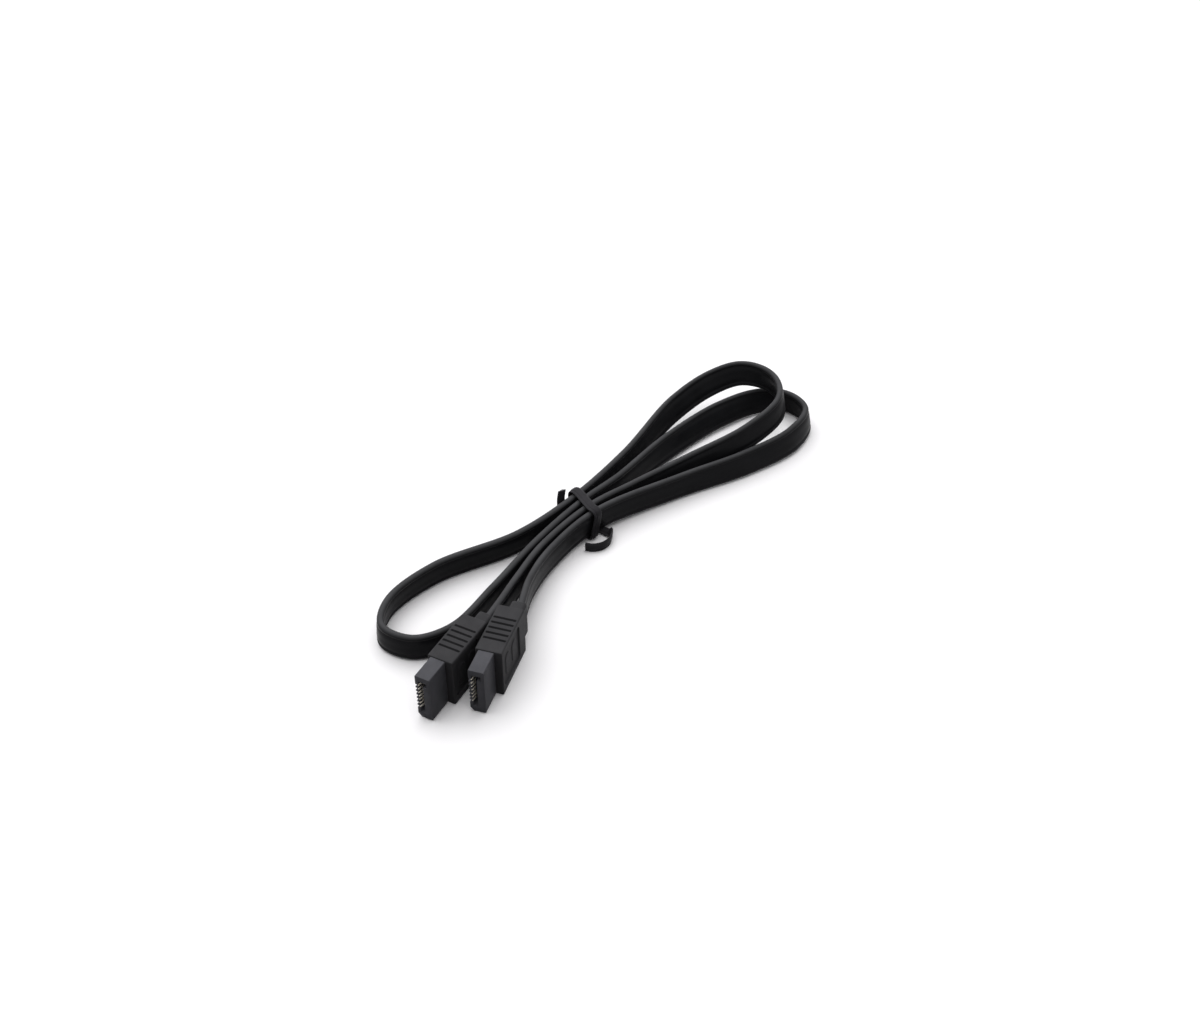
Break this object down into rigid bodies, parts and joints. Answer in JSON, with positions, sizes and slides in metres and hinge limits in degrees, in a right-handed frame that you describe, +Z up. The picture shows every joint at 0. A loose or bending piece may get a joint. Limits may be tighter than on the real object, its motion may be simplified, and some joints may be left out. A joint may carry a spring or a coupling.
{
  "type": "serial ata data cable",
  "caption": "Flat black serial data cable folded into a hank and held by a twist tie, standing on its narrow edge, with a straight moulded plug on each end.",
  "frame": {"origin": "on the floor below the middle of the hank's bounding box", "axes": "+X along the hank, away from the plugs; +Z up from the floor; +Y towards the hank's rear strand"},
  "size_m": [0.1648, 0.0722, 0.017],
  "materials": {
    "jacket": "satin",
    "plug_plastic": "fine grained satin",
    "insert_plastic": "satin",
    "contact_metal": "gold plated, bright",
    "tie_plastic": "semi gloss",
    "tie_wire": "cut end"
  },
  "bodies": {
    "root": {"cable_lead": "jacket", "plug_a_shell": "plug_plastic", "plug_a_insert": "insert_plastic", "plug_a_contact_1": "contact_metal", "plug_a_contact_2": "contact_metal", "plug_a_contact_3": "contact_metal", "plug_a_contact_4": "contact_metal", "plug_a_contact_5": "contact_metal", "plug_a_contact_6": "contact_metal", "plug_a_contact_7": "contact_metal", "plug_b_shell": "plug_plastic", "plug_b_insert": "insert_plastic", "plug_b_contact_1": "contact_metal", "plug_b_contact_2": "contact_metal", "plug_b_contact_3": "contact_metal", "plug_b_contact_4": "contact_metal", "plug_b_contact_5": "contact_metal", "plug_b_contact_6": "contact_metal", "plug_b_contact_7": "contact_metal", "twist_tie_strip": "tie_plastic", "twist_tie_wire_rear": "tie_wire", "twist_tie_wire_front": "tie_wire"}
  },
  "joints": []
}
